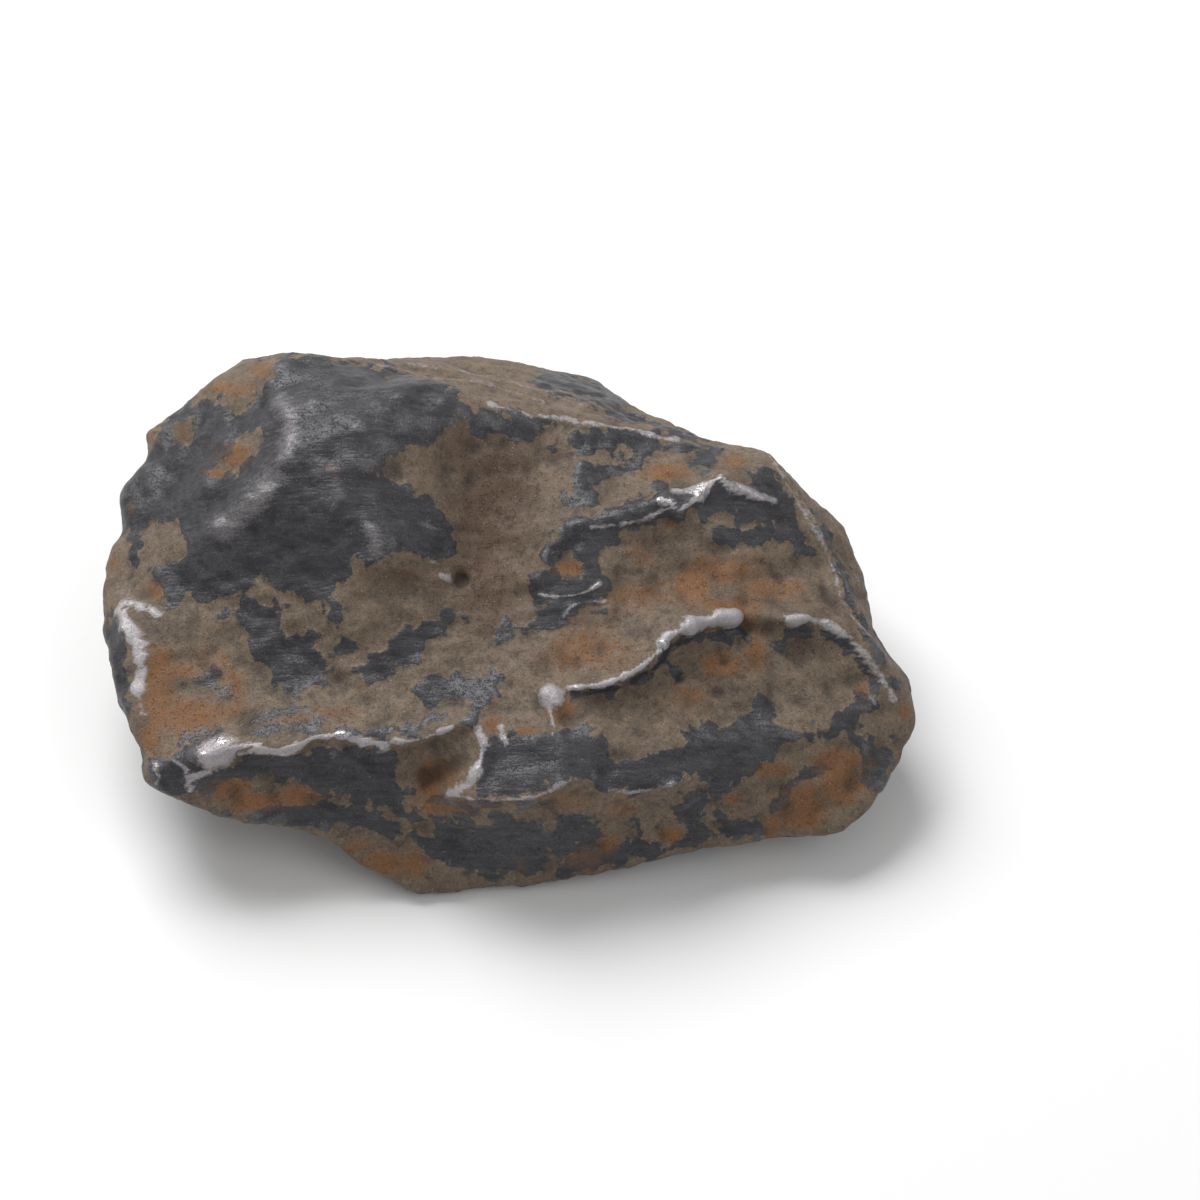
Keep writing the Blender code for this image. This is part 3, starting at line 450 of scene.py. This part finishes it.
# a line's width wanders along it, and its bead is rounded: rise (1 - off2 / fringe) across it
widthHere = np.clip(marks["widthMean"] + wavesOf(marks["widthWander"]), *marks["widthRange"])
# bright metal and painted highlights along the bright lines
for halfWidth, strength, rise, path in brightMetalAndHighlightLines:
    width = halfWidth * (widthHere if halfWidth < marks["steadyWidth"] else 1.0)
    off = besidePath(seen, curveThrough(path)) / width
    brightMetalAndHighlight = np.maximum(brightMetalAndHighlight, strength * np.clip(marks["lineFringe"] - np.abs(off), 0.0, 1.0))
    section = np.clip(1.0 - off * off / marks["lineFringe"], 0.0, 1.0)
    beads = np.maximum(beads, marks["beadHeight"] * rise * widthHere * section)
# painted sheen on the shoulders, with some wear
wornAndPaintedSheen = np.zeros(len(seen))
for halfWidth, strength, path in wornAndPaintedSheenPlaces:
    off = besidePath(seen, curveThrough(path)) / halfWidth
    wornAndPaintedSheen = np.maximum(wornAndPaintedSheen, strength * np.exp(-off * off))

# The sides that the photograph hides get the same finishes in places of their own.
darkHidden = wavesOf(marks["hiddenDark"]) + marks["hiddenDarkMore"]
darkHidden = np.clip(darkHidden, -marks["reach"], marks["reach"])
rustHidden = marks["hiddenRustMost"] * easeBetween(wavesOf(marks["hiddenRust"]), *marks["hiddenRustEdge"])
dark = shown * dark + (1.0 - shown) * darkHidden
rust = shown * rust + (1.0 - shown) * rustHidden
valley *= shown
brightMetalAndHighlight *= shown
wornAndPaintedSheen *= shown
dark += wavesOf(marks["raggedDark"])

relief = shown * beads
for right, up, radius, depth in pits:
    relief -= shown * depth * np.exp(-np.sum((seen - (right, up)) ** 2, axis=1) / radius**2)
relief += lump["patchRise"] * easeBetween(dark, -lump["patchEdge"], lump["patchEdge"])
relief += lump["lumpiness"] * waves(points, lump["lumpLength"], 31)
relief += lump["wrinkles"] * waves(points, lump["wrinkleLength"], 32) * (1.0 - lump["wornSmooth"] * brightMetalAndHighlight)
points += normals * relief[:, None]
low, high = (np.array(corner) / mm for corner in cadBox)
points = np.clip(points, low + [lump["skin"], lump["skin"], 0.0], high - lump["skin"])
writeVertices(mesh, points * mm)
normals = readVertices(mesh, "normal")
# how far the neighbours' mean stands out from each vertex: over 0 in a hollow, under 0 on a ridge
bend = np.einsum("ij,ij->i", neighbourMean(points, edges, degree) - points, normals)[:, None]
for _ in range(lump["cavityRounds"]):
    bend = 0.5 * bend + 0.5 * neighbourMean(bend, edges, degree)
cavity = np.clip(bend[:, 0] / lump["cavityDepth"], -1.0, 1.0)

fields = {"dark": dark, "rust": rust, "valley": valley, "brightMetalAndHighlight": brightMetalAndHighlight, "wornAndPaintedSheen": wornAndPaintedSheen, "cavity": cavity}
for name, values in fields.items():
    layer = mesh.attributes.new(name, "FLOAT", "POINT")
    layer.data.foreach_set("value", values.astype(np.float32))
mesh.shade_smooth()


class Sock:
    # a shader socket that adds a Math node for each operator
    def __init__(self, tree, socket):
        self.tree = tree
        self.socket = socket

    def node(self, kind, settings=(), inputs=(), output=0):
        made = self.tree.nodes.new(kind)
        for name, value in dict(settings).items():
            setattr(made, name, value)
        for key, value in dict(inputs).items():
            if isinstance(value, Sock):
                self.tree.links.new(value.socket, made.inputs[key])
            else:
                made.inputs[key].default_value = value
        return Sock(self.tree, made.outputs[output])

    def math(self, operation, *values, clamp=False):
        return self.node("ShaderNodeMath", {"operation": operation, "use_clamp": clamp}, enumerate(values))

    def __add__(self, other):
        return self.math("ADD", self, other)

    def __radd__(self, other):
        return self.math("ADD", other, self)

    def __sub__(self, other):
        return self.math("SUBTRACT", self, other)

    def __rsub__(self, other):
        return self.math("SUBTRACT", other, self)

    def __mul__(self, other):
        return self.math("MULTIPLY", self, other)

    def __rmul__(self, other):
        return self.math("MULTIPLY", other, self)

    def __truediv__(self, other):
        return self.math("DIVIDE", self, other)

    def most(self, *others):
        # the largest of this and the others
        largest = self
        for other in others:
            largest = self.math("MAXIMUM", largest, other)
        return largest

    def over(self, edge, softness):
        # 0 well below the edge, 1 well above it
        return self.math("ADD", (self - edge) / softness, 0.5, clamp=True)

    def noise(self, size, detail, roughness=0.55, stretch=(1, 1, 1), twist=0.0):
        # unevenness of a size in millimetres, about 0.5 on the whole
        place = self.node("ShaderNodeMapping", (), {"Vector": self, "Scale": stretch})
        inputs = {"Vector": place, "Scale": 1.0 / (size * mm), "Detail": detail}
        inputs.update({"Roughness": roughness, "Distortion": twist})
        return self.node("ShaderNodeTexNoise", {"noise_dimensions": "3D"}, inputs)

    def blend(self, first, second):
        # from the first colour to the second as this goes from 0 to 1
        return self.node("ShaderNodeMix", {"data_type": "RGBA"}, {0: self, 6: first, 7: second}, 2)

    def field(self, name):
        # one of the values kept in the mesh
        return self.node("ShaderNodeAttribute", {"attribute_name": name}, (), 2)


def rgb(red, green, blue):
    # a colour of 0 to 255 as the screen shows it, to linear values
    return (*(((c / 255 + 0.055) / 1.055) ** 2.4 for c in (red, green, blue)), 1.0)


iron = {
    "charcoal": rgb(44, 44, 48), "charcoalPale": rgb(74, 73, 76),
    "tan": rgb(124, 107, 89), "tanDark": rgb(80, 67, 55),
    "rust": rgb(140, 96, 54), "rustDark": rgb(88, 60, 38),
    "valley": rgb(84, 64, 48), "silverAndHighlight": rgb(166, 161, 163), "pitAndShade": rgb(26, 22, 20),
    # sizes of the unevenness, in millimetres
    "fleckSize": 0.11, "grainSize": 0.16, "fineSize": 0.45, "scratchSize": 0.5,
    "cloudSize": 2.2, "broadSize": 6.0,
    "scratchStretch": (0.25, 1.6, 1.2),
    "wornAndPaintedSheenMost": 0.525, "crestMost": 0.22, "speckMost": 0.6, "paintedHollowShadeMost": 0.55,
    "darkFlecks": 0.35, "tanFlecks": 0.6, "darkRust": 0.35,
    "roughness": 0.7, "darkMetallic": 0.35, "brightMetallic": 0.6,
    "bumpStrength": 0.9, "bumpDepth": 0.08,
}


def weatheredIronWithPaintedLight():
    # charcoal oxide over granular tan, stained with rust, worn to bright metal on the ridges; it also paints
    # highlights and sheen in silver, shadows under the ledges in charcoal, and shade in the hollows
    material = bpy.data.materials.new("weathered_iron")
    material.use_nodes = True
    tree = material.node_tree
    shader = tree.nodes["Principled BSDF"]
    here = Sock(tree, tree.nodes.new("ShaderNodeTexCoord").outputs["Object"])
    fine = here.noise(iron["fineSize"], 6.0, 0.6)
    grain = here.noise(iron["grainSize"], 3.0, 0.6)
    cloud = here.noise(iron["cloudSize"], 5.0)
    broad = here.noise(iron["broadSize"], 3.0, 0.5)
    scratches = here.noise(iron["scratchSize"], 4.0, 0.6, iron["scratchStretch"], twist=0.4)
    # dark mask: charcoal oxide, and the painted shadows under the ledges
    darkMask = (here.field("dark") + (fine - 0.5) * 1.3).over(0.0, 0.16)
    rustMask = (here.field("rust") + (fine - 0.5) * 0.9 + (cloud - 0.5) * 0.6).over(0.38, 0.42)
    valleyMask = (here.field("valley") + (cloud - 0.5) * 0.8).over(0.4, 0.7)
    # painted highlights and sheen: the bright lines and the shoulder haze, turned silver below
    brightMetalAndHighlightMask = (here.field("brightMetalAndHighlight") + (fine - 0.5) * 1.3 + (grain - 0.5) * 0.7).over(0.55, 0.45)
    wornAndPaintedSheenMask = (here.field("wornAndPaintedSheen") + (scratches - 0.5) * 1.1 + (grain - 0.5) * 1.2).over(0.62, 0.8)
    cavity = here.field("cavity")
    crest = (cavity * -1.0 + (grain - 0.5) * 1.6).over(0.95, 0.5)
    specks = (grain * 0.6 + fine * 0.4).over(0.57, 0.06)
    flecks = here.noise(iron["fleckSize"], 2.0, 0.5).over(0.70, 0.05)

    tanColour = (cloud * 0.5 + grain * 0.9 - 0.2).over(0.5, 0.35).blend(iron["tanDark"], iron["tan"])
    tanColour = valleyMask.blend(tanColour, iron["valley"])
    rustColour = (fine * 0.6 + grain * 0.6 - 0.1).over(0.5, 0.4).blend(iron["rustDark"], iron["rust"])
    tanColour = rustMask.blend(tanColour, rustColour)
    tanColour = (specks * iron["speckMost"]).blend(tanColour, iron["pitAndShade"])
    tanColour = (flecks * iron["tanFlecks"]).blend(tanColour, iron["silverAndHighlight"])
    darkTone = (scratches * 0.9 + fine * 0.5 + broad * 0.3 - 0.35).over(0.55, 0.5)
    darkOxideAndShadowColour = darkTone.blend(iron["charcoal"], iron["charcoalPale"])
    darkOxideAndShadowColour = (rustMask * iron["darkRust"]).blend(darkOxideAndShadowColour, rustColour)
    darkOxideAndShadowColour = (flecks * iron["darkFlecks"]).blend(darkOxideAndShadowColour, iron["silverAndHighlight"])
    colour = darkMask.blend(tanColour, darkOxideAndShadowColour)
    # painted shade: hollows darkened towards the pit colour
    colour = (cavity.over(0.55, 0.8) * iron["paintedHollowShadeMost"]).blend(colour, iron["pitAndShade"])
    # silver for bright metal and worn crests, and for the painted highlights and sheen
    metalAndHighlight = brightMetalAndHighlightMask.most(wornAndPaintedSheenMask * iron["wornAndPaintedSheenMost"], crest * darkMask * iron["crestMost"])
    colour = metalAndHighlight.blend(colour, iron["silverAndHighlight"])
    tree.links.new(colour.socket, shader.inputs["Base Color"])
    metallic = darkMask * iron["darkMetallic"] + metalAndHighlight * iron["brightMetallic"]
    tree.links.new(metallic.socket, shader.inputs["Metallic"])
    roughness = iron["roughness"] - darkMask * 0.26 - metalAndHighlight * 0.12 + (fine - 0.5) * 0.25
    tree.links.new(roughness.socket, shader.inputs["Roughness"])
    height = grain * (1.0 - darkMask * 0.75) * 0.9 + fine * 0.8 + scratches * darkMask * 0.9 - specks * 0.5
    bump = here.node("ShaderNodeBump", (), {"Strength": iron["bumpStrength"],
        "Distance": iron["bumpDepth"] * mm, "Height": height})
    tree.links.new(bump.socket, shader.inputs["Normal"])
    return material


mesh.materials.append(weatheredIronWithPaintedLight())
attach(surface, "root")
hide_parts("meteorite")

print("scene: floor, light and camera")
studio = {
    "floorHalf": 1.6,
    "floorTone": 0.8,
    "floorRoughness": 0.75,
    "world": 0.45,
    "keyPower": 3.0,
    "keySize": 0.34,
    "keyFrom": (-0.16, 0.26, 0.42),
    "fillPower": 0.5,
    "fillFrom": (0.35, -0.25, 0.45),
    "aimHeight": 0.01,
}


def makeFloor():
    # two points along each of two parameters: a level square under the lump
    half = studio["floorHalf"]
    floorMesh = bpy.data.meshes.new("floor")
    corners = [(-half, -half, 0), (half, -half, 0), (half, half, 0), (-half, half, 0)]
    floorMesh.from_pydata(corners, [], [(0, 1, 2, 3)])
    floor = bpy.data.objects.new("floor", floorMesh)
    bpy.context.scene.collection.objects.link(floor)
    paper = bpy.data.materials.new("paper")
    paper.use_nodes = True
    shader = paper.node_tree.nodes["Principled BSDF"]
    shader.inputs["Base Color"].default_value = (*[studio["floorTone"]] * 3, 1.0)
    shader.inputs["Roughness"].default_value = studio["floorRoughness"]
    floorMesh.materials.append(paper)


def areaLight(name, place, size, power):
    # a square lamp that faces the lump
    lamp = bpy.data.lights.new(name, "AREA")
    lamp.shape = "SQUARE"
    lamp.size = size
    lamp.energy = power
    lampObject = bpy.data.objects.new(name, lamp)
    lampObject.location = place
    lampObject.rotation_mode = "QUATERNION"
    towards = Vector((0, 0, studio["aimHeight"])) - Vector(place)
    lampObject.rotation_quaternion = towards.to_track_quat("-Z", "Y")
    bpy.context.scene.collection.objects.link(lampObject)


def makeCamera():
    # stands at the eye and looks at the picture's middle
    view = bpy.data.cameras.new("camera")
    view.lens = shot["lens"]
    view.sensor_width = shot["sensor"]
    view.clip_start = 0.01
    camera = bpy.data.objects.new("camera", view)
    camera.location = Vector(eye * mm)
    camera.rotation_mode = "QUATERNION"
    camera.rotation_quaternion = Vector(-toEye).to_track_quat("-Z", "Y")
    bpy.context.scene.collection.objects.link(camera)
    bpy.context.scene.camera = camera


makeFloor()
areaLight("key", studio["keyFrom"], studio["keySize"], studio["keyPower"])
areaLight("fill", studio["fillFrom"], studio["keySize"], studio["fillPower"])
makeCamera()
world = bpy.data.worlds.new("studio")
world.use_nodes = True
world.node_tree.nodes["Background"].inputs["Color"].default_value = (1.0, 1.0, 1.0, 1.0)
world.node_tree.nodes["Background"].inputs["Strength"].default_value = studio["world"]
bpy.context.scene.world = world
bpy.context.scene.view_settings.view_transform = "Standard"
